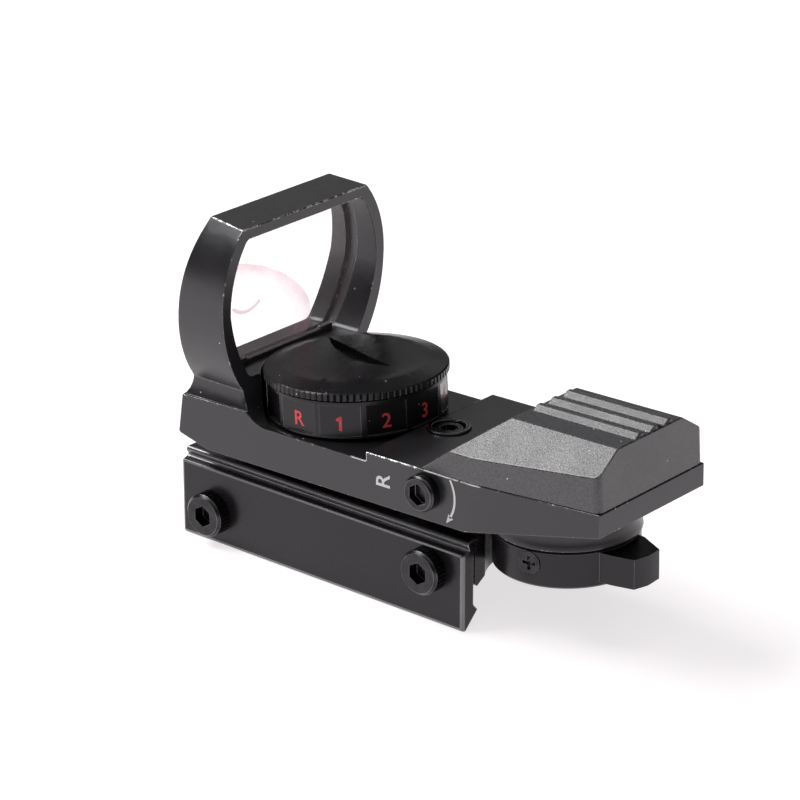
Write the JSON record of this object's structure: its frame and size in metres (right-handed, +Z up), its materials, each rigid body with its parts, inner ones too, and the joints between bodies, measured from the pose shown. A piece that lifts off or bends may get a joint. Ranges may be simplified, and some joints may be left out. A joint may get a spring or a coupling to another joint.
{
  "type": "red dot finder",
  "caption": "Open reflex red dot finder with a tilted lens in a hood, stepped brightness knob, reticle lever, adjusting screws and a side-clamping rail base.",
  "frame": {"origin": "on the rail seat of the base, midway along the base's length, in the symmetry plane", "axes": "+Y along the line of sight towards the lens hood, +Z up away from the rail, -X to the clamp jaw and its screws"},
  "size_m": [0.0376, 0.0828, 0.0548],
  "materials": {
    "anodised": "satin black anodised",
    "cover_plastic": "fine matt black",
    "black_screw": "black oxide",
    "steel": "plain turned",
    "spring_steel": "drawn wire",
    "brass": "turned",
    "lens_glass": "clear with a reddish coating",
    "window_glass": "clear",
    "mirror_face": "silvered",
    "board": "green solder mask",
    "chip": "moulded",
    "ribbon_film": "amber film",
    "led": "clear red",
    "cell_can": "drawn can",
    "seal": "smooth",
    "reticle_plate": "etched"
  },
  "bodies": {
    "base": {"rail_base": "anodised", "clamp_nuts": "steel", "windage_post": "steel", "post_screws": "black_screw", "return_springs": "spring_steel"},
    "clamp_jaw": {"clamp_jaw": "anodised"},
    "clamp_screw_front": {"clamp_screw_front": "black_screw"},
    "clamp_screw_rear": {"clamp_screw_rear": "black_screw"},
    "swing_block": {"swing_block": "steel", "king_pin": "steel", "swing_washer": "brass"},
    "elevation_nut": {"elevation_nut": "brass"},
    "windage_nut": {"windage_nut": "brass"},
    "sight": {"sight_body": "anodised", "objective_lens": "lens_glass", "lens_retainer": "cover_plastic", "elevation_axle": "steel", "bottom_plate": "anodised", "plate_screws": "black_screw", "rear_cover": "cover_plastic", "cover_screws": "black_screw", "emitter_window": "window_glass", "mirror_block": "mirror_face", "mirror_bracket": "anodised", "led_board": "board", "led_emitter": "led", "circuit_board": "board", "board_parts": "chip", "ribbon": "ribbon_film", "elevation_collar": "black_screw", "detent_balls": "steel", "detent_springs": "spring_steel", "selector_spacer": "brass"},
    "elevation_screw": {"elevation_screw": "black_screw", "elevation_clip": "steel"},
    "windage_screw": {"windage_screw": "black_screw", "windage_clip": "steel"},
    "brightness_knob": {"brightness_drum": "anodised", "knob_clip": "steel", "contact_wiper": "brass", "coin_cell": "cell_can", "cell_contact": "brass"},
    "cap_seal": {"cap_o_ring": "seal"},
    "battery_cap": {"battery_cap": "anodised"},
    "reticle_selector": {"selector_wheel": "anodised", "selector_screw": "black_screw", "selector_shaft": "steel", "selector_clip": "steel", "reticle_disc": "reticle_plate"}
  },
  "joints": [
    {"name": "jaw_slide", "type": "slide", "parent": "base", "child": "clamp_jaw", "axis": [1, 0, 0], "range_m": [-0.003, 0]},
    {"name": "front_clamp_turn", "type": "hinge", "parent": "clamp_jaw", "child": "clamp_screw_front", "pos_m": [-0.0148, 0.0221, -0.0016], "axis": [1, 0, 0], "range_deg": [-2165, 0]},
    {"name": "rear_clamp_turn", "type": "hinge", "parent": "clamp_jaw", "child": "clamp_screw_rear", "pos_m": [-0.0148, -0.022, 0.00175], "axis": [1, 0, 0], "range_deg": [-2165, 0]},
    {"name": "windage_yaw", "type": "hinge", "parent": "base", "child": "swing_block", "pos_m": [0, 0.022, 0.0077], "axis": [0, 0, 1], "range_deg": [-0.75, 0.75]},
    {"name": "elevation_tilt", "type": "hinge", "parent": "swing_block", "child": "sight", "pos_m": [0, 0.022, 0.0124], "axis": [-1, 0, 0], "range_deg": [-0.8, 0.8], "deforming": ["return_springs"]},
    {"name": "elevation_screw_turn", "type": "hinge", "parent": "sight", "child": "elevation_screw", "pos_m": [0, -0.01483, 0.01669], "axis": [0, 0.0187, 0.9998], "range_deg": [-380, 380]},
    {"name": "windage_screw_turn", "type": "hinge", "parent": "sight", "child": "windage_screw", "pos_m": [-0.0151, -0.02276, 0.01514], "axis": [1, 0, 0], "range_deg": [-430, 430]},
    {"name": "elevation_nut_slide", "type": "slide", "parent": "base", "child": "elevation_nut", "axis": [1, 0, 0], "range_m": [-0.00055, 0.00055]},
    {"name": "windage_nut_slide", "type": "slide", "parent": "base", "child": "windage_nut", "axis": [0, 0, 1], "range_m": [-0.0007, 0.0007]},
    {"name": "knob_turn", "type": "hinge", "parent": "sight", "child": "brightness_knob", "pos_m": [0, 0.00347, 0.01655], "axis": [0, 0.0536, 0.9986], "range_deg": [-210, 90]},
    {"name": "cap_lift", "type": "slide", "parent": "brightness_knob", "child": "cap_seal", "axis": [0, 0.0536, 0.9986], "range_m": [0, 0.003]},
    {"name": "cap_turn", "type": "hinge", "parent": "cap_seal", "child": "battery_cap", "pos_m": [0, 0.00347, 0.01655], "axis": [0, 0.0536, 0.9986], "range_deg": [0, 1445]},
    {"name": "selector_turn", "type": "hinge", "parent": "sight", "child": "reticle_selector", "pos_m": [0, -0.03757, 0.00911], "axis": [0, 0.0187, 0.9998], "range_deg": [-80, 40]}
  ],
  "couplings": [
    {"joint": "front_clamp_turn", "follows": "jaw_slide", "rad_per_m": 12566},
    {"joint": "rear_clamp_turn", "follows": "jaw_slide", "rad_per_m": 12566},
    {"joint": "elevation_screw_turn", "follows": "elevation_tilt", "ratio": 463.7},
    {"joint": "windage_nut_slide", "follows": "elevation_tilt", "m_per_rad": 0.0448},
    {"joint": "windage_screw_turn", "follows": "windage_yaw", "ratio": 562.97},
    {"joint": "elevation_nut_slide", "follows": "windage_yaw", "m_per_rad": 0.0369},
    {"joint": "cap_turn", "follows": "cap_lift", "rad_per_m": 8377.6}
  ]
}
